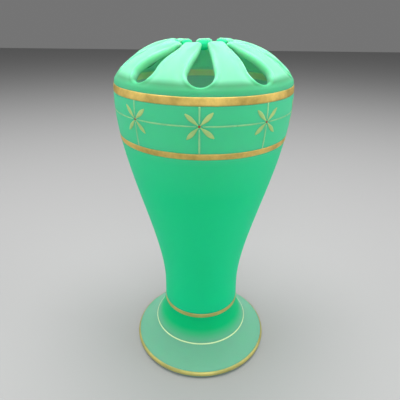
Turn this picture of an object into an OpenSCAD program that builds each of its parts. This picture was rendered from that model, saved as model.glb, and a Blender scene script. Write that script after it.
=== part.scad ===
// Footed flower vase of satin glass whose rim is cut into petals and folded in,
// so that stems stand in the slots between them. Millimetres, +Z up, the foot on Z = 0.

/* [Bowl] */
// Height of the joint where the bowl is fused to the foot
joint_z = 41; // [33:0.5:50]
// Outer radius of the glass at the joint
joint_r = 30; // [25:0.1:36]
// Height of the narrowest place, above the joint
waist_rise = 16; // [12:0.5:20]
// Outer radius at the narrowest place
waist_r = 29.8; // [25:0.1:36]
// Height of the widest place of the bowl
belly_z = 208.5; // [177:0.5:250]
// Outer radius at the widest place
belly_r = 59.3; // [56:0.1:71.2]
// How far the side runs straight up from the waist
waist_pull = 46; // [30:1:56]
// How far the side runs straight up into the belly
belly_pull = 46.5; // [35:0.5:56]
// Thickness of the bowl's glass
bowl_wall = 3; // [2.5:0.1:3.6]
// Thickness of the glass floor inside, over the joint
floor_t = 6; // [4:0.5:8]

/* [Folded rim] */
// Height of the sharp fold between the bowl and its folded rim, above the belly
fold_rise = 12.7; // [11:0.1:15]
// Outer radius at the fold
fold_r = 58; // [56:0.1:59]
// Height of the petals' crest above the fold
crest_rise = 22.3; // [18:0.1:27]
// Radius of the ring on which the petals are highest
crest_r = 21; // [18:0.5:25]
// How far the petals run nearly level before the crest
crest_pull = 6; // [5:0.5:8]
// How far the dome leans in as it rises from the fold
fold_lean = 11; // [9:0.5:13]
// Radius of the roll that turns each petal's tip down
tip_roll = 5.5; // [4.6:0.1:6.6]
// Straight end below the roll of the tip
tip_drop = 0.3; // [0:0.1:2]
// Thickness of the petals' glass
petal_wall = 3; // [2.5:0.1:3.6]
// Number of petals, and of slots between them
petals = 9; // [9:1:9]
// Turn of the first slot from the front
first_slot = -2; // [-20:1:20]

/* [Slots] */
// Width of a slot's round outer end
slot_w = 15.8; // [13.1:0.1:19]
// Width of a slot where it runs into the middle
throat_w = 5.4; // [4.5:0.1:6.5]
// Glass left between the fold and a slot's round end
slot_margin = 2.6; // [1.5:0.1:4]
// Distance from the round end's centre to the throat, along the petals
slot_taper = 26; // [21:1:31]

/* [Foot] */
// Outer radius of the foot
foot_r = 55.2; // [46:0.1:66.3]
// Radius of the foot's rounded edge
edge_r = 3.2; // [2.6:0.1:3.9]
// Slope of the foot's brim, in degrees
brim_slope = 22; // [17:1:27]
// How far the stem runs straight down from the joint
stem_pull = 12; // [9:0.5:15]
// How far the brim runs straight in from the edge
brim_pull = 14; // [11:0.5:17]
// Width of the flat ring that the foot stands on
seat_w = 5.2; // [3:0.1:10]
// Height of the hollow under the foot
hollow_h = 16; // [13:0.5:19]

/* [Gilding and enamel] */
// Thickness of the fired gilding and enamel
layer_t = 0.2; // [0.15:0.05:0.3]
// Distance from the fold down to the upper gilt band
upper_band_drop = 2.9; // [2:0.1:5]
// Width of the upper gilt band
upper_band_w = 4.8; // [3:0.1:6]
// Distance from the fold down to the lower gilt band
lower_band_drop = 35; // [30:0.5:40]
// Width of the lower gilt band
lower_band_w = 3.8; // [3:0.1:5]
// Width of the gilt ring that covers the joint
joint_ring_w = 3.5; // [2.5:0.1:4.2]
// Height of the fine enamel line round the foot
foot_line_z = 19; // [15.5:0.5:23]
// Width of that line
foot_line_w = 0.8; // [0.5:0.1:1.2]
// Lower end of the gilding on the foot's edge, above the edge's middle
edge_gilt_low = -0.9; // [-1.5:0.1:0]
// Upper end of that gilding, above the edge's middle
edge_gilt_high = 2.4; // [1.5:0.1:2.5]
// Width of the fine line that runs round through the flowers
girdle_w = 0.9; // [0.6:0.1:1.5]
// Width of the upright line through each flower
upright_w = 1.3; // [0.8:0.1:2]
// Distance from a flower's middle to the point of a leaf
leaf_reach = 10.9; // [9:0.1:12.8]
// Width of a leaf
leaf_w = 2.8; // [2.3:0.1:3.4]
// Angle between a leaf and the fine line
leaf_angle = 43; // [38:1:50]
// Radius of the enamel dot in a flower's middle
dot_r = 0.8; // [0.6:0.1:1.1]
// Distance at which the fine lines stop short of a flower's middle
line_gap = 3.2; // [2.8:0.1:5]
// How far the flowers' middle lies above the middle between the two bands
flower_lift = 2.7; // [0:0.1:4]

/* [Hidden] */
$fn = 96;
pitch = 360 / petals;
front = -90 + first_slot;
fold_z = belly_z + fold_rise;
crest_z = fold_z + crest_rise;
waist_z = joint_z + waist_rise;
upper_band_z = fold_z - upper_band_drop - upper_band_w;
lower_band_z = fold_z - lower_band_drop - lower_band_w;
flower_z = (upper_band_z + lower_band_z + lower_band_w) / 2 + flower_lift;
side_steps = 24;
short_steps = 6;
roll_steps = 8;
glass = [0.14, 0.78, 0.50];
petal_glass = [0.55, 0.98, 0.78];
foot_glass = [0.45, 0.76, 0.60];
gilt = [0.86, 0.68, 0.34];
pale_gilt = [0.72, 0.80, 0.46];
cream = [0.86, 0.98, 0.76];
russet = [0.62, 0.27, 0.12];

PETAL_NODES = [for (i = [1:petals]) str("petal_", i)];
FLOWER_NODES = [for (i = [1:petals]) str("flower_", i)];
GLASS_NODES = ["bowl", "foot"];
BAND_NODES = ["upper_band", "lower_band", "joint_ring", "foot_line", "edge_gilding"];
LINE_NODES = ["girdle_line", "upright_lines", "flower_dots"];

// A cubic curve through p[0] and p[3], pulled towards p[1] and p[2].
function bezier(p, t) =
    pow(1 - t, 3) * p[0] + 3 * pow(1 - t, 2) * t * p[1] + 3 * (1 - t) * t * t * p[2] + pow(t, 3) * p[3];
function curve(p, steps) = [for (i = [0:steps]) bezier(p, i / steps)];
function arc(c, r, from, to, steps) =
    [for (i = [0:steps]) let (a = from + (to - from) * i / steps) c + r * [cos(a), sin(a)]];
function tail(points) = [for (i = [1:len(points) - 1]) points[i]];
function reversed(points) = [for (i = [len(points) - 1:-1:0]) points[i]];

// The direction away from the glass at a point of an outline that runs upwards.
function outward(points, i) =
    let (v = points[min(i + 1, len(points) - 1)] - points[max(i - 1, 0)]) [v[1], -v[0]] / norm(v);
function shifted(points, d) = [for (i = [0:len(points) - 1]) points[i] + d * outward(points, i)];

// Outlines of the outside, as [radius, height] from the bottom up.
neck_curve = curve([[joint_r, joint_z], [(joint_r + waist_r) / 2, joint_z + waist_rise / 3],
    [waist_r, joint_z + waist_rise * 2 / 3], [waist_r, waist_z]], short_steps);
side_curve = curve([[waist_r, waist_z], [waist_r, waist_z + waist_pull],
    [belly_r, belly_z - belly_pull], [belly_r, belly_z]], side_steps);
shoulder_curve = curve([[belly_r, belly_z], [belly_r, belly_z + fold_rise * 0.4],
    [(belly_r + fold_r * 2) / 3 + 0.5, fold_z - fold_rise * 0.3], [fold_r, fold_z]], short_steps);
bowl_outline = concat(neck_curve, tail(side_curve), tail(shoulder_curve));

edge_centre = [foot_r - edge_r, edge_r];
seat_r = foot_r - edge_r - seat_w;
brim_start = edge_centre + edge_r * [sin(brim_slope), cos(brim_slope)];
brim_curve = curve([brim_start, brim_start + brim_pull * [-cos(brim_slope), sin(brim_slope)],
    [joint_r + 0.3, joint_z - stem_pull], [joint_r, joint_z]], side_steps);
edge_arc = arc(edge_centre, edge_r, -90, 90 - brim_slope, short_steps);
foot_outline = concat(edge_arc, tail(brim_curve));

crown_curve = curve([[fold_r, fold_z], [fold_r - fold_lean, fold_z + crest_rise * 0.8],
    [crest_r + crest_pull, crest_z - 0.4], [crest_r, crest_z]], side_steps / 2);
roll_centre = [crest_r, crest_z - tip_roll];
roll_outer = arc(roll_centre, tip_roll, 90, 180, roll_steps);
roll_inner = arc(roll_centre, tip_roll - petal_wall, 180, 90, roll_steps);
tip_centre = roll_centre - [tip_roll - petal_wall / 2, tip_drop];
tip_bead = arc(tip_centre, petal_wall / 2, 180, 360, roll_steps);

outer_outline = concat(foot_outline, tail(bowl_outline));

function radius_at(outline, z) = lookup(z, [for (p = outline) [p[1], p[0]]]);

// The point at a given distance along an outline from its first point.
function along(points, d, i = 0) =
    let (step = norm(points[i + 1] - points[i]))
    d <= step || i == len(points) - 2 ? points[i] + (points[i + 1] - points[i]) * d / step
                                      : along(points, d - step, i + 1);

// The stretch of an outline between two heights, and a thin layer lying on it.
function stretch(outline, low, high) = concat([[radius_at(outline, low), low]],
    [for (p = outline) if (p[1] > low + 0.01 && p[1] < high - 0.01) p], [[radius_at(outline, high), high]]);
function layer(points, thickness) = concat(points, reversed(shifted(points, thickness)));

module ring_layer(outline, low, high, thickness = layer_t) {
    rotate_extrude() polygon(layer(stretch(outline, low, high), thickness));
}

// Everything at one place of the pattern is turned there by this.
module at_slot(i) {
    rotate([0, 0, front + (i - 1) * pitch]) children();
}

module bowl() {
    floor_z = joint_z + floor_t;
    cove_h = 8;
    inside = [for (p = shifted(bowl_outline, -bowl_wall)) if (p[1] > floor_z + cove_h && p[1] < fold_z) p];
    cove_r = inside[0][0];
    cove = [for (a = [0:10:90]) [cove_r * sin(a), floor_z + cove_h * (1 - cos(a))]];
    color(glass)
        rotate_extrude()
            polygon(concat([[0, joint_z]], bowl_outline, [[fold_r - bowl_wall, fold_z]],
                reversed(inside), reversed(cove)));
}

module foot() {
    under = curve([[seat_r, 0], [seat_r - 8, hollow_h * 0.45], [seat_r * 0.68, hollow_h], [0, hollow_h]],
        side_steps / 2);
    color(foot_glass)
        rotate_extrude()
            polygon(concat(foot_outline, [[0, joint_z]], reversed(under)));
}

// A slot laid flat, with its round end at the origin and its throat along -X.
module slot_shape() {
    wide = slot_w / 2;
    narrow = throat_w / 2;
    turn = 90 + asin((wide - narrow) / slot_taper);
    throat = [-slot_taper, 0];
    polygon(concat(arc([0, 0], wide, -turn, turn, 4 * short_steps),
        [throat + narrow * [cos(turn), sin(turn)], throat + [-fold_r, narrow],
         throat + [-fold_r, -narrow], throat + narrow * [cos(turn), -sin(turn)]]));
}

// The cutter for one slot, square to the glass at the slot's round end.
module slot_cutter() {
    middle = slot_margin + slot_w / 2;
    seat = along(crown_curve, middle);
    climb = along(crown_curve, middle + 2) - along(crown_curve, middle - 2);
    above = 4 * petal_wall;
    below = crest_rise + tip_roll;
    translate([seat[0], 0, seat[1]])
        rotate([0, atan2(climb[1], -climb[0]), 0])
            translate([0, 0, -below])
                linear_extrude(below + above)
                    slot_shape();
}

module petal(i) {
    inside = [for (p = shifted(crown_curve, -petal_wall)) [p[0], max(p[1], fold_z)]];
    color(petal_glass)
        at_slot(i)
            difference() {
                rotate_extrude(angle = pitch)
                    polygon(concat(crown_curve, tail(roll_outer), tip_bead, roll_inner, tail(reversed(inside))));
                slot_cutter();
                rotate([0, 0, pitch]) slot_cutter();
            }
}

module upper_band() {
    color(gilt) ring_layer(bowl_outline, upper_band_z, upper_band_z + upper_band_w);
}

module lower_band() {
    color(gilt) ring_layer(bowl_outline, lower_band_z, lower_band_z + lower_band_w);
}

module joint_ring() {
    color(gilt) ring_layer(outer_outline, joint_z - joint_ring_w / 2, joint_z + joint_ring_w / 2);
}

module foot_line() {
    color(cream) ring_layer(foot_outline, foot_line_z - foot_line_w / 2, foot_line_z + foot_line_w / 2);
}

module edge_gilding() {
    color(gilt) ring_layer(foot_outline, edge_r + edge_gilt_low, edge_r + edge_gilt_high);
}

// One leaf laid flat along +X: where two equal circles cross.
module leaf() {
    start = dot_r + 0.3;
    length = leaf_reach - start;
    bend_r = (length * length + leaf_w * leaf_w) / (4 * leaf_w);
    translate([start + length / 2, 0])
        intersection() {
            translate([0, bend_r - leaf_w / 2]) circle(bend_r);
            translate([0, leaf_w / 2 - bend_r]) circle(bend_r);
        }
}

// A flat drawing stood upright at a slot's place and driven into the painted skin of the bowl.
module painted(i, low, high, thickness = layer_t) {
    half_turn = pitch / 2;
    intersection() {
        rotate([0, 0, front + (i - 1) * pitch - half_turn])
            rotate_extrude(angle = pitch)
                polygon(layer(stretch(bowl_outline, low, high), thickness));
        at_slot(i)
            translate([belly_r / 2, 0, 0])
                rotate([90, 0, 90])
                    linear_extrude(belly_r)
                        translate([0, flower_z]) children();
    }
}

module flower(i) {
    color(pale_gilt)
        painted(i, flower_z - leaf_reach, flower_z + leaf_reach)
            for (a = [leaf_angle, 180 - leaf_angle, 180 + leaf_angle, -leaf_angle])
                rotate(a) leaf();
}

module flower_dots() {
    color(russet)
        for (i = [1:petals])
            painted(i, flower_z - 2, flower_z + 2) circle(dot_r);
}

module upright_lines() {
    low = lower_band_z + lower_band_w;
    high = upper_band_z;
    color(pale_gilt)
        for (i = [1:petals])
            painted(i, low, high) {
                translate([-upright_w / 2, line_gap]) square([upright_w, high - flower_z]);
                translate([-upright_w / 2, low - flower_z - 1]) square([upright_w, flower_z - low + 1 - line_gap]);
            }
}

module girdle_line() {
    gap = asin(line_gap / belly_r);
    color(pale_gilt)
        for (i = [1:petals])
            rotate([0, 0, front + (i - 1) * pitch + gap])
                rotate_extrude(angle = pitch - 2 * gap)
                    polygon(layer(stretch(bowl_outline, flower_z - girdle_w / 2, flower_z + girdle_w / 2), layer_t));
}

bowl();
foot();
for (i = [1:petals]) petal(i);
upper_band();
lower_band();
joint_ring();
foot_line();
edge_gilding();
girdle_line();
upright_lines();
flower_dots();
for (i = [1:petals]) flower(i);
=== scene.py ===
# %% [markdown]
# # A satin glass flower vase with a folded, petalled rim
# The vase is one blown bowl of green glass on a flared foot. Its rim was cut into nine tabs while
# it was hot, and the tabs were folded in, so that flower stems stand in the slots between them.
# Gilt bands and small painted flowers are fired on to the outside.
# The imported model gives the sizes. This script only makes the looks, in the same place.

# %% Load the frame
import math

import bmesh
import bpy
import numpy as np
from mathutils import Matrix, Vector


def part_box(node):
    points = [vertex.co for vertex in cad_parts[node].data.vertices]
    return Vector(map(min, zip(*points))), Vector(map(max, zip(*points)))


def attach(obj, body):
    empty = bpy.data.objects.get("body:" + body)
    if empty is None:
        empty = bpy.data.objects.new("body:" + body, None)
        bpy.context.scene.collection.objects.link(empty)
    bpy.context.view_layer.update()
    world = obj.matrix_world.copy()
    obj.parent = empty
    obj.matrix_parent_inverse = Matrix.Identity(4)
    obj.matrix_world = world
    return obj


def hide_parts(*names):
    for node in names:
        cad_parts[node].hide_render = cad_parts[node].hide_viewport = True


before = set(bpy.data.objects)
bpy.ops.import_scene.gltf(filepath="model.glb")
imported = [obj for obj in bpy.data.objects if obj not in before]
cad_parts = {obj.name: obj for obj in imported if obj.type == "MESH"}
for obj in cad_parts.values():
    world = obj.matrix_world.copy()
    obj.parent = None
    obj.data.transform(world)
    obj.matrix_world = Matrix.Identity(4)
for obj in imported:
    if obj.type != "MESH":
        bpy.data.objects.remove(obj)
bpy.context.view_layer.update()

print("nodes in the frame:", len(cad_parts))

# %% [markdown]
# ## Sizes
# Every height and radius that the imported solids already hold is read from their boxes, so the looks
# follow the frame. What a box can't tell, such as how a curve swells, is named here in millimetres.

# %% Sizes from the frame
MM = 0.001
PETALS = 9
PITCH = math.radians(360 / PETALS)
FRONT = math.radians(-90 - 2)          # where the first slot points, a little left of the front

joint_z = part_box("bowl")[0].z / MM
fold_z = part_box("bowl")[1].z / MM
crest_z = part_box("petal_1")[1].z / MM
foot_r = 55.2
belly_r = 59.3
heights = {"joint": joint_z, "fold": fold_z, "crest": crest_z}
print("heights in mm:", {name: round(z, 1) for name, z in heights.items()})

# %% Sizes of the glass
joint_r = 30.0
waist_rise, waist_r = 16, 29.8         # the narrowest place, above the joint
waist_z = joint_z + waist_rise
waist_pull, belly_pull = 46, 46.5      # how far the side runs straight at its two ends
fold_rise, fold_r = 12.7, 58.0         # the fold, above the belly
belly_z = fold_z - fold_rise
fold_lean = 11                         # how far the dome leans in as it rises from the fold
crest_r, crest_pull = 21.0, 6          # the petals' highest ring, and a nearly level stretch before
wall = 3.0
roll_r = 5.5                           # the roll that turns each petal's tip down
tip_drop = 0.3                         # straight end below the roll

# %% [markdown]
# ## The outline
# A glassblower thinks of a vase as one outline that is spun round an axis. The outline here is a
# few cubic curves, joined end to end. A cubic curve needs only two ends and two handles, and it is
# easy to keep smooth: where two curves meet, their handles lie on one line. The only place where
# they don't is the fold of the rim, which shows on the real glass as a soft ridge.

# %% Curves in the plane of radius and height
def cubic(p0, p1, p2, p3, steps):
    """Points on a cubic curve, the first one included."""
    t = np.linspace(0, 1, steps + 1)[:, None]
    p0, p1, p2, p3 = (np.array(p, float) for p in (p0, p1, p2, p3))
    return (1 - t) ** 3 * p0 + 3 * (1 - t) ** 2 * t * p1 + 3 * (1 - t) * t * t * p2 + t ** 3 * p3


def arc(centre, radius, start, end, steps):
    """Points on an arc, with its angles in degrees."""
    a = np.radians(np.linspace(start, end, steps + 1))
    return np.array(centre) + radius * np.stack([np.cos(a), np.sin(a)], 1)


def chain(*stretches):
    """Stretches joined end to end, with each shared point kept once."""
    return np.concatenate([stretches[0]] + [s[1:] for s in stretches[1:]])


def lengths(line):
    """Distance along a line from its first point to each of its points."""
    return np.concatenate([[0], np.cumsum(np.linalg.norm(np.diff(line, axis=0), axis=1))])


# %% The outside of the bowl and of a petal's middle
neck = cubic((joint_r, joint_z), ((joint_r + waist_r) / 2, joint_z + waist_rise / 3),
             (waist_r, joint_z + waist_rise * 2 / 3), (waist_r, waist_z), 40)
side = cubic((waist_r, waist_z), (waist_r, waist_z + waist_pull),
             (belly_r, belly_z - belly_pull), (belly_r, belly_z), 400)
shoulder = cubic((belly_r, belly_z), (belly_r, belly_z + fold_rise * 0.4),
                 ((belly_r + fold_r * 2) / 3 + 0.5, fold_z - fold_rise * 0.3), (fold_r, fold_z), 60)
crown = cubic((fold_r, fold_z), (fold_r - fold_lean, fold_z + (crest_z - fold_z) * 0.8),
              (crest_r + crest_pull, crest_z - 0.4), (crest_r, crest_z), 200)
roll = arc((crest_r, crest_z - roll_r), roll_r, 90, 180, 40)
drop = np.array([roll[-1], roll[-1] - [0, tip_drop]])

bowl_line = chain(neck, side, shoulder)
outer_line = chain(bowl_line, crown, roll, drop)
outer_s = lengths(outer_line) - lengths(bowl_line)[-1]      # 0 at the fold, rising towards the tip
tip_s = outer_s[-1]
print("glass from fold to tip, mm:", round(tip_s, 1))

# %% Soften the fold
def soften(line, s, reach):
    """Rounds the corner at s = 0 between -reach and reach with one smooth curve."""
    before = [np.interp(-reach, s, line[:, k]) for k in (0, 1)]
    corner = [np.interp(0, s, line[:, k]) for k in (0, 1)]
    after = [np.interp(reach, s, line[:, k]) for k in (0, 1)]
    near = np.abs(s) < reach
    t = ((s[near] + reach) / (2 * reach))[:, None]
    before, corner, after = np.array(before), np.array(corner), np.array(after)
    line = line.copy()
    line[near] = (1 - t) ** 2 * before + 2 * t * (1 - t) * corner + t * t * after
    return line


FOLD_SOFT = 0.6                        # half the length of the rounding
outer_line = soften(outer_line, outer_s, FOLD_SOFT)
print("the fold is rounded over", 2 * FOLD_SOFT, "mm")

# %% [markdown]
# ## The slots and the petals' relief
# Seen from above, a slot is a drop: round at its outer end and narrowing to a throat, where the two
# petals nearly touch. The hot tabs also slumped over their edges, so each petal is crowned like a
# finger, and its edges are thicker and fire-polished, with a fine bead round the slot's wide end.
# All of this is one rule, the distance from the slot's edge, so it is written as functions and not
# pushed in by hand. The same functions then give the outer skin, the inner skin and the bead.

# %% The slot's outline
def ease(low, high, v):
    """A smooth step from 0 at low to 1 at high."""
    t = np.clip((v - low) / (high - low), 0, 1)
    return t * t * (3 - 2 * t)


crest_s = tip_s - tip_drop - roll_r * math.pi / 2
slot_r = 7.9                           # radius of the round end
throat_r = 2.7                         # half the width of the throat
slot_margin = 2.6                      # glass left between the fold and the round end
slot_taper = 28.0                      # from the round end's centre to the throat, along the glass
slot_s = slot_margin + slot_r
bead_r = wall / 2
lean = math.asin((slot_r - throat_r) / slot_taper)         # slope of the slot's sides
THROAT_CLOSES, CLOSING_RUN = 0.9, 14   # how much it closes on each side, over the last stretch


def throat_half(s):
    """Half the gap between two petals, which closes a little towards their tips."""
    return throat_r - THROAT_CLOSES * ease(crest_s - CLOSING_RUN, crest_s, s)


def slot_half_width(s, grow=0.0):
    """Half the slot's width at distance s from the fold, with the slot grown all round by grow."""
    r = slot_r + grow
    on_circle = np.sqrt(np.maximum(r * r - (s - slot_s) ** 2, 0))
    on_side = (r - (s - slot_s) * math.sin(lean)) / math.cos(lean)
    narrowed = np.maximum(on_side, throat_half(s) + grow)
    return np.where(s < slot_s + r * math.sin(lean), on_circle, narrowed)


def slot_distance(s, x):
    """Distance from the slot's edge to a point x off the slot's middle line."""
    to_circle = np.hypot(x, s - slot_s) - slot_r
    to_side = x * math.cos(lean) + (s - slot_s) * math.sin(lean) - slot_r
    to_throat = x - throat_half(s)
    beside = np.minimum(to_side, to_throat)
    return np.where((s - slot_s) * math.cos(lean) < x * math.sin(lean), to_circle, beside)


print("a slot is", 2 * slot_r, "mm wide and narrows to", 2 * throat_r)

# %% The relief of a petal
slump = np.array([[0, 0], [3, 0.4], [10, 1.0], [20, 1.6], [30, 2.0], [36, 1.9], [crest_s, 1.5],
                  [tip_s, 0.6]])       # how far a petal's sides hang down, by distance
finger_s = 26                          # where a petal starts to narrow to a fingertip
hanging_strip = (3.0, 2.4)             # width that hangs beside a slot, and how much the tip loses
crown_reach = (5.5, 3.6)               # width of the rise to the crown, and how much the tip loses
bead_h, bead_w = 0.75, 1.25            # height and width of the bead
BEAD_FADES, BEAD_FADE = (14, 32), 0.85
lip_h, lip_w = 1.5, 2.2                # depth and width of the thicker edge
LIP_RUN_OUT = 8                        # stretch before the crest over which it thins out
corner_r = 1.0                         # rounding of a fingertip, inside its bead


def petal_half_width(s):
    """Half the width of a petal up to its bead, with its fingertip rounded off."""
    r = np.interp(s, outer_s, outer_line[:, 0])
    beside_slot = r * PITCH / 2 - slot_half_width(s, bead_r)
    into = np.clip((s - (tip_s - corner_r)) / corner_r, 0, 1)
    return beside_slot - corner_r * (1 - np.sqrt(np.maximum(1 - into * into, 0)))


def hang(s, x):
    """How far a petal hangs below the spun outline, x off the slot's middle line."""
    middle = slot_distance(s, np.interp(s, outer_s, outer_line[:, 0]) * PITCH / 2)
    finger = ease(finger_s, crest_s, s)
    flat = hanging_strip[0] - hanging_strip[1] * finger
    rise = np.minimum(middle - flat, crown_reach[0] - crown_reach[1] * finger)
    t = np.clip((slot_distance(s, x) - flat) / np.maximum(rise, 1), 0, 1)
    crowned = 1 - (1 - t ** 1.4) ** 2.4
    return np.where(s > 0, np.interp(s, slump[:, 0], slump[:, 1]) * (1 - crowned), 0)


def bead(s, x):
    """How far the fire-polished bead stands up beside the slot."""
    d = slot_distance(s, x)
    height = bead_h * ease(0, 6, s) * (1 - BEAD_FADE * ease(*BEAD_FADES, s))
    return np.where(s > 0, height * np.exp(-((d - bead_r) / bead_w) ** 2), 0)


def lip(s, x):
    """How much deeper the glass is beside a slot, where its edge sagged inwards."""
    d = slot_distance(s, x)
    depth = lip_h * ease(0, 5, s) * (1 - ease(crest_s - LIP_RUN_OUT, crest_s, s))
    return np.where(s > 0, depth * np.exp(-(np.maximum(d - bead_r, 0) / lip_w) ** 2), 0)


# %% The skins as functions of distance and angle
def outline_at(s):
    """Point and outward direction of the spun outline, as radius and height."""
    step = 0.25
    at, ahead, behind = (np.stack([np.interp(s + e, outer_s, outer_line[:, k]) for k in (0, 1)], -1)
                         for e in (0, step, -step))
    along = (ahead - behind) / np.linalg.norm(ahead - behind, axis=-1, keepdims=True)
    return at, np.stack([along[..., 1], -along[..., 0]], -1)


def skins(s, phi):
    """Outer point, inner point and outward direction, phi being measured from a petal's middle."""
    at, away = outline_at(s)
    x = at[..., 0] * (PITCH / 2 - np.abs(phi))
    hanging = hang(s, x)[..., None]

    def spun(p):
        return np.stack([p[..., 0] * np.cos(phi), p[..., 0] * np.sin(phi), p[..., 1]], -1)

    top = spun(at + away * (bead(s, x)[..., None] - hanging))
    return top, spun(at - away * (hanging + wall + lip(s, x)[..., None])), spun(away)


# %% [markdown]
# ## One ninth of the bowl
# Nine petals start alike, so only one slice of the bowl is meshed: from the joint up the outside,
# over the fold to the fingertip, round its edge and down the inside to the floor. Rows run round
# the vase and columns run up it. The columns are squeezed together towards the slots, where the
# relief is. The slice also carries two attributes that the material reads: which skin a point is
# on, and how much painted light the outside gets there, as painted sheen and painted shade.

# %% Painted sheen and shade on the outside
# Painted light by distance from the fold: a painted sheen of the overhead light that rises from the
# body to the petals, with painted shade just above the fold and on the turned-down tips.
PAINTED_LIGHT = np.array([[-200, 0.0], [-70, 0.03], [-42, 0.14], [-39, 0.30], [-9, 0.34], [-1, 0.40],
                  [3, 0.46], [7, 0.72], [12, 0.94], [20, 1.0], [crest_s + 1.5, 1.0],
                  [crest_s + 3.5, 0.1], [tip_s, 0.0]])
GROOVE_AT, GROOVE_W, GROOVE_SHADE = 4.2, 1.3, 0.25


def painted_light_at(s, phi):
    """How much painted light the outside gets: a painted sheen, least on the body and most on the
    petals, with painted shade just above the fold, on the tips and along the petals' sides.
    """
    r = np.interp(s, outer_s, outer_line[:, 0])
    d = slot_distance(s, r * (PITCH / 2 - np.abs(phi)))
    # Painted shade: a dark line along each petal's side, beside its slot.
    groove_shade = np.exp(-((d - GROOVE_AT) / GROOVE_W) ** 2) * ease(9, 24, s)
    return np.interp(s, PAINTED_LIGHT[:, 0], PAINTED_LIGHT[:, 1]) * (1 - GROOVE_SHADE * groove_shade)


# %% Rows and columns of the slice
COLUMNS = 24
v = np.linspace(-1, 1, COLUMNS + 1)
across = 0.5 * v + 0.5 * np.sin(v * math.pi / 2)

below_fold = -2.0                      # rows are closer together from here on
end_angle = math.pi / 2 + lean
round_angles = np.linspace(0, end_angle, 14)
round_rows = slot_s - (slot_r + bead_r) * np.cos(round_angles)
taper_rows = np.linspace(round_rows[-1], tip_s - corner_r, 30)[1:]
tip_rows = tip_s - corner_r + corner_r * np.sin(np.linspace(0, math.pi / 2, 7)[1:])
petal_rows = np.concatenate([round_rows, taper_rows, tip_rows])
fold_rows = np.linspace(below_fold, round_rows[0], 7)[:-1]
bowl_rows = np.linspace(outer_s[0], below_fold, 62)[:-1]
rows = np.concatenate([bowl_rows, fold_rows, petal_rows])
print("rows:", len(rows), "columns:", COLUMNS + 1)

# %% Where each row ends at the slots
half = np.where(rows < round_rows[0] + 1e-9,
                np.interp(rows, outer_s, outer_line[:, 0]) * PITCH / 2,
                petal_half_width(rows))
radius = np.interp(rows, outer_s, outer_line[:, 0])
S, U = np.meshgrid(rows, across, indexing="ij")
PHI = U * (half / radius)[:, None]
outer, inner, outwards = skins(S, PHI)
bloom = painted_light_at(S, PHI)

# %% The bead round the slots and the fingertip
first = len(bowl_rows) + len(fold_rows)                     # the row at the slot's round end
edge = ([(i, 0) for i in range(first, len(rows))] + [(len(rows) - 1, j) for j in range(1, COLUMNS)]
        + [(i, COLUMNS) for i in range(len(rows) - 1, first - 1, -1)])
BEAD_STEPS = 8
print("points along the edge of a petal:", len(edge))


def bead_rings():
    """For each point of the edge, a half circle from the outer skin round to the inner skin."""
    p, q, n = (np.array([skin[i, j] for i, j in edge]) for skin in (outer, inner, outwards))
    run = np.empty_like(p)
    run[1:-1] = p[2:] - p[:-2]
    run[0] = [-math.sin(-PITCH / 2), math.cos(-PITCH / 2), 0]
    run[-1] = [-math.sin(PITCH / 2), math.cos(PITCH / 2), 0]
    out = np.cross(n, run)
    out /= np.linalg.norm(out, axis=1, keepdims=True)
    a = np.linspace(0, math.pi, BEAD_STEPS + 1)[1:-1]
    return [[(b + c) / 2 + math.cos(t) * (b - c) / 2 + math.sin(t) * bead_r * o for t in a]
            for b, c, o in zip(p, q, out)]


# %% Join the skins into one slice
FLOOR_T, COVE_H = 6.0, 8.0             # the glass floor, and the rounding up to the wall


def slice_mesh(name):
    """The mesh of one ninth of the bowl, open only where it meets its neighbours."""
    verts, faces, inside, pale = [], [], [], []

    def put(points, value, light_levels=0.0):
        first_index = len(verts)
        verts.extend(map(tuple, points))
        inside.extend([value] * len(points))
        pale.extend(np.broadcast_to(light_levels, len(points)))
        return first_index

    n_cols = COLUMNS + 1
    base = put(outer.reshape(-1, 3), 0.0, bloom.reshape(-1))
    floor_z, cove_h = joint_z + FLOOR_T, COVE_H
    keep = [i for i in range(len(rows)) if inner[i, 0, 2] > floor_z + cove_h]
    wall_in = inner[keep]
    cove_a = np.radians(np.arange(10, 90, 10))
    cove_r = np.hypot(wall_in[0, 0, 0], wall_in[0, 0, 1])
    phi = across * PITCH / 2
    cove = np.array([[[cove_r * math.sin(a) * math.cos(f), cove_r * math.sin(a) * math.sin(f),
                       floor_z + cove_h * (1 - math.cos(a))] for f in phi] for a in cove_a])
    low = put(np.concatenate([cove, wall_in]).reshape(-1, 3), 1.0)
    low_rows = len(cove) + len(keep)
    floor_pole = put([(0, 0, floor_z)], 1.0)
    base_pole = put([(0, 0, joint_z + 0.05)], 0.0)

    def grid(start, count, flip):
        for i in range(count - 1):
            for j in range(COLUMNS):
                a = start + i * n_cols + j
                quad = (a, a + 1, a + n_cols + 1, a + n_cols)
                faces.append(quad[::-1] if flip else quad)

    grid(base, len(rows), False)
    grid(low, low_rows, True)
    for j in range(COLUMNS):
        faces.append((base_pole, base + j + 1, base + j))
        faces.append((floor_pole, low + j, low + j + 1))

    inner_row = {i: low + (len(cove) + k) * n_cols for k, i in enumerate(keep)}
    rings = []
    for (i, j), mids in zip(edge, bead_rings()):
        # The bead takes the painted light of its edge point, with a little painted shade towards the
        # inner skin.
        start = put(mids, 0.0, bloom[i, j] * np.linspace(1, 0.9, len(mids)))
        middle = list(range(start, start + len(mids)))
        rings.append([base + i * n_cols + j] + middle + [inner_row[i] + j])
    for a, b in zip(rings, rings[1:]):
        for k in range(BEAD_STEPS):
            faces.append((a[k], a[k + 1], b[k + 1], b[k]))

    mesh = bpy.data.meshes.new(name)
    mesh.from_pydata([tuple(c * MM for c in p) for p in verts], [], faces)
    mesh.attributes.new("inside", "FLOAT", "POINT").data.foreach_set("value", inside)
    mesh.attributes.new("bloom", "FLOAT", "POINT").data.foreach_set("value", pale)
    return mesh


slice_piece = bpy.data.objects.new("glass_slice", slice_mesh("glass_slice"))
bpy.context.scene.collection.objects.link(slice_piece)
print("faces in one slice:", len(slice_piece.data.polygons))
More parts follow.
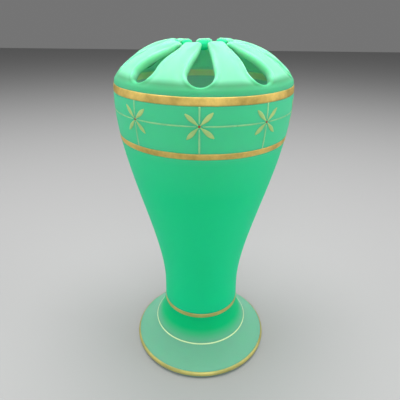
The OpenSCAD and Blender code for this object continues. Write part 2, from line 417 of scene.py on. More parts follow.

# %% [markdown]
# ## Repeating round the axis
# A Geometry Nodes tree sets copies of a slice round the axis, joins them where they touch and gives
# them their material. An array modifier would need a helper object for the angle. Here the number
# of copies and the first angle are plain inputs, and the same tree serves every ring, the dots and
# the fine lines.

# %% A tree that repeats a mesh round the axis
def add(tree, kind, **settings):
    node = tree.nodes.new(kind)
    for name, value in settings.items():
        setattr(node, name, value)
    return node


def new_tree(name, **inputs):
    """An empty tree with a mesh input, named inputs of the given kinds, and a mesh output."""
    tree = bpy.data.node_groups.new(name, "GeometryNodeTree")
    tree.interface.new_socket(name="Mesh", in_out="INPUT", socket_type="NodeSocketGeometry")
    for socket, kind in inputs.items():
        tree.interface.new_socket(name=socket.replace("_", " "), in_out="INPUT",
                                  socket_type="NodeSocket" + kind)
    tree.interface.new_socket(name="Mesh", in_out="OUTPUT", socket_type="NodeSocketGeometry")
    return tree, add(tree, "NodeGroupInput"), add(tree, "NodeGroupOutput")


def sum_of(tree, operation, *values):
    """A Math node; each value is a number or a socket."""
    node = add(tree, "ShaderNodeMath", operation=operation)
    for socket, value in zip(node.inputs, values):
        if isinstance(value, (int, float)):
            socket.default_value = value
        else:
            tree.links.new(value, socket)
    return node.outputs[0]


def vector(tree, x=0.0, y=0.0, z=0.0):
    node = add(tree, "ShaderNodeCombineXYZ")
    for socket, value in zip(node.inputs, (x, y, z)):
        if isinstance(value, (int, float)):
            socket.default_value = value
        else:
            tree.links.new(value, socket)
    return node.outputs[0]


def parts_of(tree, value):
    node = add(tree, "ShaderNodeSeparateXYZ")
    tree.links.new(value, node.inputs[0])
    return node.outputs


def round_axis_tree():
    """Copies round the axis, joined where they touch, with a hand's unevenness."""
    tree, given, result = new_tree(
        "round_the_axis", Copies="Int", First_angle="Float", Merge_distance="Float",
        Material="Material", Unevenness="Float", Along_radius="Float", Along_height="Float",
        Seed="Float")
    link = tree.links.new
    places = add(tree, "GeometryNodePoints")
    link(given.outputs["Copies"], places.inputs["Count"])
    index = add(tree, "GeometryNodeInputIndex").outputs[0]
    step = sum_of(tree, "DIVIDE", math.tau, given.outputs["Copies"])
    angle = sum_of(tree, "MULTIPLY_ADD", index, step, given.outputs["First angle"])
    copies = add(tree, "GeometryNodeInstanceOnPoints")
    link(places.outputs[0], copies.inputs["Points"])
    link(given.outputs["Mesh"], copies.inputs["Instance"])
    link(vector(tree, z=angle), copies.inputs["Rotation"])
    real = add(tree, "GeometryNodeRealizeInstances")
    link(copies.outputs[0], real.inputs[0])
    merge = add(tree, "GeometryNodeMergeByDistance")
    link(real.outputs[0], merge.inputs["Geometry"])
    link(given.outputs["Merge distance"], merge.inputs["Distance"])

    noise = add(tree, "ShaderNodeTexNoise", noise_dimensions="4D")
    noise.inputs["Scale"].default_value = 55.0
    noise.inputs["Detail"].default_value = 3.0
    position = add(tree, "GeometryNodeInputPosition").outputs[0]
    link(position, noise.inputs["Vector"])
    link(given.outputs["Seed"], noise.inputs["W"])
    swing = sum_of(tree, "MULTIPLY", sum_of(tree, "SUBTRACT", noise.outputs["Fac"], 0.5), 2.0)
    shift = sum_of(tree, "MULTIPLY", swing, given.outputs["Unevenness"])
    x, y, _ = parts_of(tree, position)
    azimuth = sum_of(tree, "ARCTAN2", y, x)
    sideways = sum_of(tree, "MULTIPLY", shift, given.outputs["Along radius"])
    move = add(tree, "GeometryNodeSetPosition")
    link(merge.outputs[0], move.inputs["Geometry"])
    link(vector(tree, sum_of(tree, "MULTIPLY", sideways, sum_of(tree, "COSINE", azimuth)),
                sum_of(tree, "MULTIPLY", sideways, sum_of(tree, "SINE", azimuth)),
                sum_of(tree, "MULTIPLY", shift, given.outputs["Along height"])),
         move.inputs["Offset"])
    smooth = add(tree, "GeometryNodeSetShadeSmooth")
    link(move.outputs[0], smooth.inputs["Geometry"])
    paint = add(tree, "GeometryNodeSetMaterial")
    link(smooth.outputs[0], paint.inputs["Geometry"])
    link(given.outputs["Material"], paint.inputs["Material"])
    link(paint.outputs[0], result.inputs[0])
    return tree


ROUND_AXIS = round_axis_tree()

# %% Run a tree and keep its result as a plain mesh
def grow(piece, tree, **values):
    """Sets the tree's inputs on piece, keeps the result as its mesh and drops the modifier."""
    modifier = piece.modifiers.new(tree.name, "NODES")
    modifier.node_group = tree
    for item in tree.interface.items_tree:
        if item.in_out == "INPUT" and item.name.replace(" ", "_") in values:
            modifier[item.identifier] = values[item.name.replace(" ", "_")]
    bpy.context.view_layer.update()
    seen = piece.evaluated_get(bpy.context.evaluated_depsgraph_get())
    mesh = bpy.data.meshes.new_from_object(seen)
    piece.modifiers.remove(modifier)
    piece.data = mesh
    mesh.name = piece.name
    return piece


def face_outwards(piece):
    """Turns every face of a closed mesh outwards and says how many edges are open."""
    bm = bmesh.new()
    bm.from_mesh(piece.data)
    bmesh.ops.recalc_face_normals(bm, faces=bm.faces)
    volume = bm.calc_volume(signed=True)
    if volume < 0:
        bmesh.ops.reverse_faces(bm, faces=bm.faces)
    loose = sum(1 for e in bm.edges if len(e.link_faces) != 2)
    bm.to_mesh(piece.data)
    bm.free()
    print(piece.name, "faces", len(piece.data.polygons), "open edges", loose,
          "volume cm3", round(abs(volume) * 1e6, 1))


# %% [markdown]
# ## Materials
# Etched glass is rough on the outside and clear inside: light enters it, spreads, and comes out
# again nearby. Subsurface scattering does that for a solid wall. A transmission shader could do it
# too, but it would need many samples and would show the pale studio through the green. Gold is laid
# on as a thin metal with a matt, slightly worn skin, and the enamels are glossy paints.

# %% A short way to write a material
def finish(name, **sockets):
    """A material with one surface shader, its plain values set on the shader itself."""
    material = bpy.data.materials.new(name)
    material.use_nodes = True
    shader = material.node_tree.nodes["Principled BSDF"]
    for socket, value in sockets.items():
        shader.inputs[socket.replace("_", " ")].default_value = value
    return material, material.node_tree, shader


def cloudy(tree, scale, detail=3.0, roughness=0.5):
    """A noise pattern fixed to the object, from 0 to 1."""
    place = add(tree, "ShaderNodeTexCoord")
    noise = add(tree, "ShaderNodeTexNoise")
    noise.inputs["Scale"].default_value = scale
    noise.inputs["Detail"].default_value = detail
    noise.inputs["Roughness"].default_value = roughness
    tree.links.new(place.outputs["Object"], noise.inputs["Vector"])
    return noise.outputs["Fac"]


def ramp(tree, value, *stops):
    """Colours along a value; each stop is (place, colour)."""
    node = add(tree, "ShaderNodeValToRGB")
    while len(node.color_ramp.elements) < len(stops):
        node.color_ramp.elements.new(1.0)
    for element, (place, colour) in zip(node.color_ramp.elements, stops):
        element.position, element.color = place, (*colour, 1)
    tree.links.new(value, node.inputs[0])
    return node.outputs[0]


def blend(tree, share, a, b):
    """Colour a where share is 0, colour b where it is 1. Either may be a colour or a socket."""
    node = add(tree, "ShaderNodeMix", data_type="RGBA")
    tree.links.new(share, node.inputs["Factor"])
    for socket, value in ((node.inputs[6], a), (node.inputs[7], b)):
        if isinstance(value, tuple):
            socket.default_value = (*value, 1)
        else:
            tree.links.new(value, socket)
    return node.outputs[2]


def spread(tree, value, low, high):
    """A value from 0 to 1, spread between low and high."""
    node = add(tree, "ShaderNodeMapRange")
    node.inputs["To Min"].default_value = low
    node.inputs["To Max"].default_value = high
    tree.links.new(value, node.inputs["Value"])
    return node.outputs[0]


def bump(tree, shader, value, depth, distance):
    """Small relief from a pattern."""
    node = add(tree, "ShaderNodeBump")
    node.inputs["Strength"].default_value = depth
    node.inputs["Distance"].default_value = distance
    tree.links.new(value, node.inputs["Height"])
    tree.links.new(node.outputs[0], shader.inputs["Normal"])


# %% [markdown]
# ## Satin glass
# The outside is etched, and its colour carries painted light: a painted sheen of the overhead
# light, hardly any on the body, more between the gilt bands and most on the petals, with painted
# shade just above the fold, along the petals' sides and on their tips. So one ramp of greens over
# the attribute of painted light colours the whole outside. The inside is painted a greyer green, a
# painted reflection of the overhead light on its clear glass, and where gilding covers the outside,
# the inside shows a yellow-green stripe, the gilding seen through the wall with a painted reflection
# of the light off the gold. The other attribute says which skin a point is on, and the height gives
# the stripes.

# %% Satin glass
GREEN = (0.006, 0.63, 0.28)
PANEL_GREEN = (0.09, 0.64, 0.33)
# The next three greens are painted light: painted shade just above the fold, then the painted sheen
# of the overhead light, fullest on the petals.
PAINTED_SHADE_GREEN = (0.10, 0.35, 0.18)
RISING_SHEEN_GREEN = (0.24, 0.70, 0.44)
SHEEN_MINT = (0.24, 0.75, 0.42)
DEEP_GREEN = (0.001, 0.52, 0.19)
# The brim's grey green is a painted reflection of the overhead light on its up-facing glass.
BRIM_SHEEN_GREEN = (0.17, 0.47, 0.31)
# The inside's greyer green is a painted reflection of the overhead light on the clear inner glass.
INNER_REFLECTION_GREEN = (0.38, 0.68, 0.57)
# The back of the gilding seen through the wall, painted bright: a painted reflection of the light
# inside off the gold.
GILT_REFLECTION_GREEN = (0.78, 1.0, 0.48)


def height_window(tree, low, high, soft):
    """1 between two heights in metres and 0 elsewhere, with a soft edge."""
    place = add(tree, "ShaderNodeTexCoord")
    split = add(tree, "ShaderNodeSeparateXYZ")
    tree.links.new(place.outputs["Object"], split.inputs[0])
    rise = add(tree, "ShaderNodeMapRange", interpolation_type="SMOOTHSTEP")
    fall = add(tree, "ShaderNodeMapRange", interpolation_type="SMOOTHSTEP")
    both = add(tree, "ShaderNodeMath", operation="MULTIPLY")
    for node, a, b in ((rise, low - soft, low + soft), (fall, high + soft, high - soft)):
        node.inputs["From Min"].default_value = a
        node.inputs["From Max"].default_value = b
        tree.links.new(split.outputs[2], node.inputs["Value"])
    tree.links.new(rise.outputs[0], both.inputs[0])
    tree.links.new(fall.outputs[0], both.inputs[1])
    return both.outputs[0]


STRIPE_SOFT = 0.0004                   # metres
GLASS = dict(Roughness=0.5, IOR=1.5, Specular_IOR_Level=0.06, Subsurface_Weight=0.8,
             Subsurface_Scale=0.008, Subsurface_Radius=(0.3, 1.0, 0.6))


def etch(tree, shader, colour):
    """The colour and the fine, even roughness that both pieces of glass share."""
    tree.links.new(colour, shader.inputs["Base Color"])
    tree.links.new(spread(tree, cloudy(tree, 60.0), 0.46, 0.54), shader.inputs["Roughness"])
    bump(tree, shader, cloudy(tree, 1400.0, 2.0), 0.12, 0.0001)


def satin_glass():
    material, tree, shader = finish("satin_glass", **GLASS)
    skin_of = add(tree, "ShaderNodeAttribute", attribute_name="inside")
    pale = add(tree, "ShaderNodeAttribute", attribute_name="bloom")
    # The ramp paints light on the outside: painted shade at the fold and painted sheen on the petals.
    greens = ramp(tree, pale.outputs["Fac"], (0.0, GREEN), (0.34, PANEL_GREEN),
                  (0.46, PAINTED_SHADE_GREEN), (0.7, RISING_SHEEN_GREEN), (1.0, SHEEN_MINT))
    outside = blend(tree, spread(tree, cloudy(tree, 22.0), 0.0, 0.16), greens, DEEP_GREEN)
    # Painted reflection: the inside is painted greyer, as if it reflected the overhead light.
    inside = INNER_REFLECTION_GREEN
    # Behind each gilt band the inside gets a bright stripe: the gilding seen through the wall, with a
    # painted reflection of the light off the gold.
    for node in ("upper_band", "lower_band"):
        stripe = height_window(tree, *(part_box(node)[k].z for k in (0, 1)), STRIPE_SOFT)
        inside = blend(tree, stripe, inside, GILT_REFLECTION_GREEN)
    colour = blend(tree, skin_of.outputs["Fac"], outside, inside)
    etch(tree, shader, colour)
    return material


# The low brim is painted grey, a painted reflection of the overhead light, up to these heights.
BRIM_SHEEN_FADES = (0.017, 0.030)            # heights between which the brim's grey turns to deep green


def foot_glass():
    material, tree, shader = finish("foot_glass", **GLASS)
    place = add(tree, "ShaderNodeTexCoord")
    split = add(tree, "ShaderNodeSeparateXYZ")
    tree.links.new(place.outputs["Object"], split.inputs[0])
    rise = add(tree, "ShaderNodeMapRange", interpolation_type="SMOOTHSTEP")
    rise.inputs["From Min"].default_value, rise.inputs["From Max"].default_value = BRIM_SHEEN_FADES
    tree.links.new(split.outputs[2], rise.inputs["Value"])
    # Painted reflection: grey on the low, up-facing brim, deep green higher up.
    colour = blend(tree, rise.outputs[0], BRIM_SHEEN_GREEN, DEEP_GREEN)
    etch(tree, shader, colour)
    return material


# %% Gilding and enamel
GREEN_GOLD = (0.40, 0.52, 0.20)


def gilding(name, bright, dull, metal):
    material, tree, shader = finish(name, Metallic=metal, Roughness=0.5, Specular_IOR_Level=0.5)
    worn = ramp(tree, cloudy(tree, 70.0, 5.0, 0.65), (0.35, dull), (0.6, bright))
    low = spread(tree, height_window(tree, -0.01, 0.1, 0.02), 0.0, 0.5)
    tree.links.new(blend(tree, low, worn, GREEN_GOLD), shader.inputs["Base Color"])
    tree.links.new(spread(tree, cloudy(tree, 160.0, 4.0), 0.42, 0.68), shader.inputs["Roughness"])
    bump(tree, shader, cloudy(tree, 500.0, 4.0), 0.15, 0.0001)
    return material


def enamel(name, colour, shade):
    material, tree, shader = finish(name, Roughness=0.35, Coat_Weight=0.3, Coat_Roughness=0.2)
    tree.links.new(ramp(tree, cloudy(tree, 300.0), (0.3, shade), (0.7, colour)),
                   shader.inputs["Base Color"])
    bump(tree, shader, cloudy(tree, 800.0), 0.1, 0.0001)
    return material


SATIN = satin_glass()
FOOT = foot_glass()
GOLD = gilding("gold", (0.82, 0.60, 0.17), (0.54, 0.39, 0.10), 0.8)
PALE_GOLD = gilding("pale_gold", (0.46, 0.66, 0.22), (0.32, 0.55, 0.19), 0.1)
FADED_GOLD = gilding("faded_gold", (0.32, 0.70, 0.32), (0.20, 0.60, 0.27), 0.1)
CREAM = enamel("cream_enamel", (0.72, 0.92, 0.52), (0.6, 0.85, 0.42))
RUSSET = enamel("russet_enamel", (0.35, 0.07, 0.02), (0.28, 0.05, 0.015))

# %% [markdown]
# ## The bowl
# Nine slices make the bowl. On the real vase the tabs were folded in by hand, one after another, so
# they lean a little the same way and don't all end level. The last step adds that, smoothly, and
# only above the fold.

# %% The bowl of satin glass
TWIST, TWIST_VARIES = 2.2, 0.8         # degrees, at the fingertips
SAG_VARIES = 0.9                       # millimetres
TIP_R, STILL_R = 22, 52                # full inside the first radius, none outside the second

glass = grow(slice_piece, ROUND_AXIS, Copies=PETALS, First_angle=FRONT + PITCH / 2,
             Merge_distance=0.00001, Material=SATIN)
glass.name = "satin_bowl"


def twist_petals(mesh):
    """Turns the petals a little, each by its own amount, and lets some of them sag."""
    at = np.empty(len(mesh.vertices) * 3)
    mesh.vertices.foreach_get("co", at)
    x, y, z = at.reshape(-1, 3).T / MM
    r, phi = np.hypot(x, y), np.arctan2(y, x) - FRONT
    share = np.where(z > fold_z - 1, 1 - ease(TIP_R, STILL_R, r), 0)
    phi = phi + share * np.radians(TWIST + TWIST_VARIES * np.cos(4 * phi + 1))
    z = z - share * SAG_VARIES * (1 + np.cos(3 * phi + 2)) / 2
    moved = np.stack([r * np.cos(phi + FRONT), r * np.sin(phi + FRONT), z], 1) * MM
    mesh.vertices.foreach_set("co", moved.reshape(-1))
    mesh.update()


twist_petals(glass.data)
face_outwards(glass)
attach(glass, "root")
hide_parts("bowl", *[f"petal_{k}" for k in range(1, PETALS + 1)])

# %% [markdown]
# ## The foot
# The foot is a second gather of glass, fused on under the bowl and spun out while soft. It stands
# on a narrow ground ring and is hollow below. It is a turned shape, so one slice of its outline,
# from the axis over the brim and back to the axis under it, is repeated by the same tree. The
# shallow dish in the hollow stands for the place where a glassblower's rod would be ground off.

# %% Turned slices
TURN_STEPS = 24


def turned_slice(name, line, ends_on_axis):
    """A slice of one ninth, turned from a line of (radius, height) in millimetres."""
    phi = np.linspace(-PITCH / 2, PITCH / 2, TURN_STEPS + 1)
    ring = line[1:-1] if ends_on_axis else line
    verts = [(r * math.cos(f) * MM, r * math.sin(f) * MM, z * MM) for r, z in ring for f in phi]
    wide = TURN_STEPS + 1
    faces = []
    count = len(ring) if not ends_on_axis else len(ring) - 1
    for i in range(count):
        a, b = i * wide, (i + 1) % len(ring) * wide
        faces += [(a + j, a + j + 1, b + j + 1, b + j) for j in range(TURN_STEPS)]
    if ends_on_axis:
        for (r, z), row in ((line[0], 0), (line[-1], (len(ring) - 1) * wide)):
            verts.append((0, 0, z * MM))
            faces += [(len(verts) - 1, row + j, row + j + 1) for j in range(TURN_STEPS)]
    mesh = bpy.data.meshes.new(name)
    mesh.from_pydata(verts, [], faces)
    piece = bpy.data.objects.new(name, mesh)
    bpy.context.scene.collection.objects.link(piece)
    return piece


# %% The foot's outline
edge_r, brim_slope = 3.2, 22           # millimetres, degrees
brim_pull, stem_pull = 14, 12          # how far the brim runs straight at its two ends
seat_r, hollow_r, hollow_z = 46.8, 12, 16
edge_centre = (foot_r - edge_r, edge_r)
edge_line = arc(edge_centre, edge_r, -90, 90 - brim_slope, 12)
brim_end = edge_line[-1]
brim_dir = np.array([-math.cos(math.radians(brim_slope)), math.sin(math.radians(brim_slope))])
brim_line = cubic(brim_end, brim_end + brim_pull * brim_dir,
                  (joint_r + 0.3, joint_z - stem_pull), (joint_r, joint_z), 120)
foot_line = chain(edge_line, brim_line)
under_line = cubic((seat_r, 0), (seat_r - 8, 7.2), (seat_r - 15, hollow_z),
                   (hollow_r, hollow_z), 30)
pontil_line = cubic((hollow_r, hollow_z), (11, 16.6), (7, 17), (0, 17), 10)
foot_section = np.concatenate([[(0, joint_z)], brim_line[::-4], edge_line[-2::-1],
                               under_line, pontil_line[1:]])

foot_piece = turned_slice("satin_foot", foot_section, True)
grow(foot_piece, ROUND_AXIS, Copies=PETALS, First_angle=0.0, Merge_distance=0.00001,
     Material=FOOT)
face_outwards(foot_piece)
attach(foot_piece, "root")
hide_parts("foot")

# %% [markdown]
# ## Gilt bands and enamel lines
# A gilder holds a brush still against the turning vase, so a band follows the outline exactly and
# only its edges waver. Each band is a thin cushion of metal: flat in the middle, thin at its edges,
# with its underside just inside the glass so that no gap shows. The tree adds the wavering.

# %% Bands
LAYER, SUNK = 0.18, 0.12               # how far a band stands off the glass and reaches into it
BAND_INSET = 0.05                      # room left at its edges for the wavering


def at_height(line, z, lift):
    """Point that stands lift off an outline at height z."""
    step = 0.01
    below, r, above = (np.interp(z + e, line[:, 1], line[:, 0]) for e in (-step, 0, step))
    rise, run = 2 * step, above - below
    away = np.array([rise, -run]) / math.hypot(rise, run)
    return np.array([r, z]) + lift * away


def band(name, node, line, material, wavering, direction, seed):
    """A gilt or enamel ring in the place of a node, its edges moved by up to wavering mm."""
    low, high = (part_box(node)[k].z / MM for k in (0, 1))
    middle, half_w = (low + high) / 2, (high - low) / 2 - BAND_INSET
    top = [at_height(line, middle + q * half_w, LAYER * (1 - abs(q) ** 5))
           for q in np.linspace(-1, 1, 11)]
    below = [at_height(line, middle + q * half_w, -SUNK) for q in (0.9, 0, -0.9)]
    piece = turned_slice(name, np.array(top + below), False)
    grow(piece, ROUND_AXIS, Copies=PETALS, First_angle=0.0, Merge_distance=0.000004,
         Material=material, Unevenness=wavering * MM, Along_radius=direction[0],
         Along_height=direction[1], Seed=seed)
    face_outwards(piece)
    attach(piece, "root")
    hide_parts(node)


whole_line = chain(foot_line, bowl_line)
band("gilt_band_upper", "upper_band", bowl_line, GOLD, 0.25, (0, 1), 1.0)
band("gilt_band_lower", "lower_band", bowl_line, GOLD, 0.25, (0.1, 1), 2.0)
band("gilt_ring_joint", "joint_ring", whole_line, GOLD, 0.2, (0, 1), 3.0)
band("enamel_line_foot", "foot_line", foot_line, CREAM, 0.12, (-0.8, 0.6), 4.0)
band("gilt_edge_foot", "edge_gilding", foot_line, GOLD, 0.12, (-0.4, 0.8), 5.0)

# %% [markdown]
# ## Painted flowers and fine lines
# The painter's brush leaves thin, slightly raised strokes. Each drawing is first made flat, as a
# few strokes with a soft cross-section, and a second tree wraps it round the glass. Working flat
# keeps the drawing easy to change. The four leaves of a flower come from one leaf: a third tree
# turns copies of it into a cross and varies each a little, with the flower's number as the seed.

# %% Flat strokes
def stroke(path, half_widths, thickness):
    """Rings of a soft, thin brush stroke along a straight path of flat points."""
    path = np.array(path, float)
    along = path[-1] - path[0]
    along /= np.linalg.norm(along)
    beside = np.array([-along[1], along[0]])
    shape = [(-1, 0.1), (-0.75, 0.75), (0, 1), (0.75, 0.75), (1, 0.1), (0, -0.8)]
    return [[(*(p + beside * q * w), lift * thickness) for q, lift in shape]
            for p, w in zip(path, half_widths)]


def drawing(name, *strokes):
    """A flat mesh of strokes, closed at both ends of each."""
    verts, faces = [], []
    for rings in strokes:
        n = len(rings[0])
        start = len(verts)
        verts += [v for ring in rings for v in ring]
        for i in range(len(rings) - 1):
            a = start + i * n
            faces += [(a + k, a + (k + 1) % n, a + n + (k + 1) % n, a + n + k) for k in range(n)]
        faces.append(tuple(range(start, start + n))[::-1])
        faces.append(tuple(range(len(verts) - n, len(verts))))
    mesh = bpy.data.meshes.new(name)
    mesh.from_pydata([tuple(c * MM for c in v) for v in verts], [], faces)
    piece = bpy.data.objects.new(name, mesh)
    bpy.context.scene.collection.objects.link(piece)
    return piece


# %% A tree that wraps a drawing on the glass
def wrap_tree():
    """A flat point (x, y, lift) goes to the azimuth x / radius and the height y on the bowl."""
    tree, given, result = new_tree("wrap_on_glass", Azimuth="Float", Middle_height="Float",
                                   Radius="Float", Slope="Float", Bend="Float",
                                   Material="Material")
    x, y, lift = parts_of(tree, add(tree, "GeometryNodeInputPosition").outputs[0])
    g = given.outputs
    turned = sum_of(tree, "ADD", g["Azimuth"], sum_of(tree, "DIVIDE", x, g["Radius"]))
    swell = sum_of(tree, "MULTIPLY", y, sum_of(tree, "MULTIPLY_ADD", y, g["Bend"], g["Slope"]))
    r = sum_of(tree, "ADD", sum_of(tree, "ADD", g["Radius"], swell), lift)
    place = vector(tree, sum_of(tree, "MULTIPLY", r, sum_of(tree, "COSINE", turned)),
                   sum_of(tree, "MULTIPLY", r, sum_of(tree, "SINE", turned)),
                   sum_of(tree, "ADD", y, g["Middle height"]))
    real = add(tree, "GeometryNodeRealizeInstances")
    tree.links.new(g["Mesh"], real.inputs[0])
    move = add(tree, "GeometryNodeSetPosition")
    tree.links.new(real.outputs[0], move.inputs["Geometry"])
    tree.links.new(place, move.inputs["Position"])
    smooth = add(tree, "GeometryNodeSetShadeSmooth")
    tree.links.new(move.outputs[0], smooth.inputs["Geometry"])
    paint = add(tree, "GeometryNodeSetMaterial")
    tree.links.new(smooth.outputs[0], paint.inputs["Geometry"])
    tree.links.new(g["Material"], paint.inputs["Material"])
    tree.links.new(paint.outputs[0], result.inputs[0])
    return tree


WRAP = wrap_tree()
flower_z = (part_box("flower_1")[0].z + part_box("flower_1")[1].z) / 2 / MM


def bowl_radius(z):
    return float(np.interp(z, bowl_line[:, 1], bowl_line[:, 0]))


reach = 12.0                           # the parabola is fitted this far above and below
above, below_it = (bowl_radius(flower_z + e) - bowl_radius(flower_z) for e in (reach, -reach))
slope = (above - below_it) / (2 * reach)
bend = (above + below_it) / (2 * reach * reach)
fit = max(abs(bowl_radius(flower_z) + slope * y + bend * y * y - bowl_radius(flower_z + y))
          for y in range(-17, 12))
print("flowers at height", round(flower_z, 2), "mm")
print("the wrap is off the glass by at most", round(fit, 3), "mm")


def wrap(piece, azimuth, material):
    return grow(piece, WRAP, Azimuth=azimuth, Middle_height=flower_z * MM,
                Radius=bowl_radius(flower_z) * MM, Slope=slope, Bend=bend / MM, Material=material)


# %% A tree that makes a flower of one leaf
def flower_tree():
    """Four copies of a leaf in a cross, each a little different."""
    tree, given, result = new_tree("flower_of_leaves", Leaf_angle="Float", Seed="Int")
    places = add(tree, "GeometryNodePoints")
    places.inputs["Count"].default_value = 4
    index = add(tree, "GeometryNodeInputIndex").outputs[0]
    half_turns = sum_of(tree, "FLOOR", sum_of(tree, "DIVIDE", sum_of(tree, "ADD", index, 1.0), 2.0))
    sign = sum_of(tree, "POWER", -1.0, index)
    lean_of = sum_of(tree, "MULTIPLY", sign, given.outputs["Leaf angle"])
    angle = sum_of(tree, "MULTIPLY_ADD", half_turns, math.pi, lean_of)

    def chance(low, high, offset):
        node = add(tree, "FunctionNodeRandomValue", data_type="FLOAT")
        node.inputs[2].default_value, node.inputs[3].default_value = low, high
        seed = sum_of(tree, "ADD", given.outputs["Seed"], offset)
        tree.links.new(seed, node.inputs["Seed"])
        return node.outputs[1]

    copies = add(tree, "GeometryNodeInstanceOnPoints")
    tree.links.new(places.outputs[0], copies.inputs["Points"])
    tree.links.new(given.outputs["Mesh"], copies.inputs["Instance"])
    turn = sum_of(tree, "ADD", angle, chance(-0.07, 0.07, 0.0))
    tree.links.new(vector(tree, z=turn), copies.inputs["Rotation"])
    length = chance(0.93, 1.0, 20.0)
    tree.links.new(vector(tree, length, chance(0.88, 1.08, 40.0), 1.0), copies.inputs["Scale"])
    real = add(tree, "GeometryNodeRealizeInstances")
    tree.links.new(copies.outputs[0], real.inputs[0])
    tree.links.new(real.outputs[0], result.inputs[0])
    return tree


FLOWER = flower_tree()

# %% Nine flowers
LEAF_REACH, LEAF_HALF, DOT_R, LINE_GAP = 10.9, 1.4, 0.8, 3.2
LEAF_TIP = 0.12                        # half the width of the brush's first touch
LEAF_ANGLE = math.radians(43)
THIN = 0.12                            # thickness of the paint


def leaf_stroke():
    """One leaf, from just inside the dot outwards, widest past its middle."""
    t = np.linspace(0, 1, 15)
    x = DOT_R - 0.1 + (LEAF_REACH - DOT_R + 0.1) * t
    swell = np.sin(math.pi * np.clip(t, 0.001, 0.97) ** 1.35) ** 0.8
    half_widths = LEAF_TIP + (LEAF_HALF - LEAF_TIP) * swell
    return stroke(np.stack([x, 0 * x], 1), half_widths, THIN)


for k in range(PETALS):
    flower = drawing(f"painted_flower_{k + 1}", leaf_stroke())
    grow(flower, FLOWER, Leaf_angle=LEAF_ANGLE, Seed=k)
    wrap(flower, FRONT + k * PITCH, PALE_GOLD)
    face_outwards(flower)
    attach(flower, "root")
    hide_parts(f"flower_{k + 1}")

# %% Dots and fine lines
DOT_T, UPRIGHT_HALF, GIRDLE_HALF = 0.17, 0.6, 0.48
upright_gap, girdle_gap = LINE_GAP - 1.6, LINE_GAP - 1.4   # the strokes run in under the leaves
overlap = 0.2                          # where two strokes of the girdle meet
dot_t = np.linspace(-1, 1, 11)
dot = drawing("painted_dots", stroke(np.stack([0 * dot_t, DOT_R * dot_t], 1),
                                     DOT_R * np.sqrt(np.maximum(1.02 - dot_t ** 2, 0.02)), DOT_T))
low_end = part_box("lower_band")[1].z / MM - flower_z
high_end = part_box("upper_band")[0].z / MM - flower_z


def fine_line(a, b, half_w):
    """A brush line from a to b that thins out towards b."""
    t = np.linspace(0, 1, 9)[:, None]
    path = np.array(a) * (1 - t) + np.array(b) * t
    return stroke(path, half_w * (1 - 0.45 * t[:, 0] ** 3), THIN * 0.8)


uprights = drawing("painted_uprights", fine_line((0, high_end), (0, upright_gap), UPRIGHT_HALF),
                   fine_line((0, low_end), (0, -upright_gap), UPRIGHT_HALF))
girdle_end = bowl_radius(flower_z) * PITCH - girdle_gap
girdle_middle = (girdle_gap + girdle_end) / 2
girdle = drawing("painted_girdle",
                 fine_line((girdle_middle - overlap, 0), (girdle_end, 0), GIRDLE_HALF),
                 fine_line((girdle_middle + overlap, 0), (girdle_gap, 0), GIRDLE_HALF))
for piece, material, slot, node, seed in (
        (dot, RUSSET, "russet_enamel", "flower_dots", 6.0),
        (uprights, FADED_GOLD, "pale_gilding", "upright_lines", 7.0),
        (girdle, FADED_GOLD, "pale_gilding", "girdle_line", 8.0)):
    wrap(piece, 0.0, material)
    grow(piece, ROUND_AXIS, Copies=PETALS, First_angle=FRONT, Merge_distance=0.000001,
         Material=material, Unevenness=0.15 * MM, Along_radius=0.0, Along_height=1.0, Seed=seed)
    face_outwards(piece)
    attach(piece, "root")
    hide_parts(node)

# %% [markdown]
# ## The studio
# A plain pale floor and large, soft lights show the form without hard highlights. The camera stands
# close and looks down, which is what makes the rim look wide and the foot small.

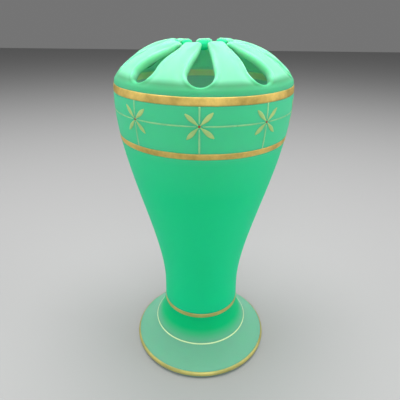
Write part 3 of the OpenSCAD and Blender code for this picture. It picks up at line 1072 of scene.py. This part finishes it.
# %% Floor
FLOOR_HALF, FLOOR_GREY = 3, 0.38       # metres, and how much light it gives back
floor_mesh = bpy.data.meshes.new("floor")
floor_mesh.from_pydata([(x * FLOOR_HALF, y * FLOOR_HALF, 0)
                        for x, y in ((-1, -1), (1, -1), (1, 1), (-1, 1))], [], [(0, 1, 2, 3)])
floor = bpy.data.objects.new("floor", floor_mesh)
bpy.context.scene.collection.objects.link(floor)
floor_material, _, floor_shader = finish("floor", Roughness=0.7)
floor_shader.inputs["Base Color"].default_value = (FLOOR_GREY, FLOOR_GREY, FLOOR_GREY, 1)
floor.data.materials.append(floor_material)

# %% Camera
CAMERA_AT = (0, -0.2623, 0.2576)
camera_data = bpy.data.cameras.new("camera")
camera = bpy.data.objects.new("camera", camera_data)
bpy.context.scene.collection.objects.link(camera)
camera_data.lens = 34.2
camera_data.sensor_width = 36
camera_data.clip_start = 0.01
pitch, yaw, tilt = (math.radians(a) for a in (26.04, -0.356, 0.622))
forward = Vector((math.sin(yaw) * math.cos(pitch), math.cos(yaw) * math.cos(pitch),
                  -math.sin(pitch)))
right = Vector((math.cos(yaw), -math.sin(yaw), 0))
up = right.cross(forward)
right, up = (math.cos(tilt) * right + math.sin(tilt) * up,
             math.cos(tilt) * up - math.sin(tilt) * right)
turn = Matrix((right, up, -forward)).transposed().to_4x4()
camera.matrix_world = Matrix.Translation(CAMERA_AT) @ turn
bpy.context.scene.camera = camera
print("camera", round(math.hypot(*CAMERA_AT[:2]), 3), "m out and", CAMERA_AT[2], "m up")


# %% Lights
def softbox(name, place, size, power, aim=(0, 0, 0.12)):
    data = bpy.data.lights.new(name, "AREA")
    data.shape, data.size, data.size_y, data.energy = "RECTANGLE", *size, power
    light = bpy.data.objects.new(name, data)
    light.location = place
    light.rotation_euler = (Vector(aim) - Vector(place)).to_track_quat("-Z", "Y").to_euler()
    bpy.context.scene.collection.objects.link(light)


softbox("overhead", (0, 0.1, 1.2), (1.0, 0.9), 19)
softbox("front_fill", (0.1, -1.5, 0.7), (1.6, 1.2), 12.5)
softbox("left_side", (-1.3, -0.1, 0.6), (0.8, 1.2), 6)
softbox("right_side", (1.3, -0.1, 0.6), (0.8, 1.2), 6)

world = bpy.data.worlds.new("studio")
world.use_nodes = True
world.node_tree.nodes["Background"].inputs[0].default_value = (0.8, 0.8, 0.8, 1)
world.node_tree.nodes["Background"].inputs[1].default_value = 0.22
bpy.context.scene.world = world
bpy.context.scene.view_settings.view_transform = "Standard"
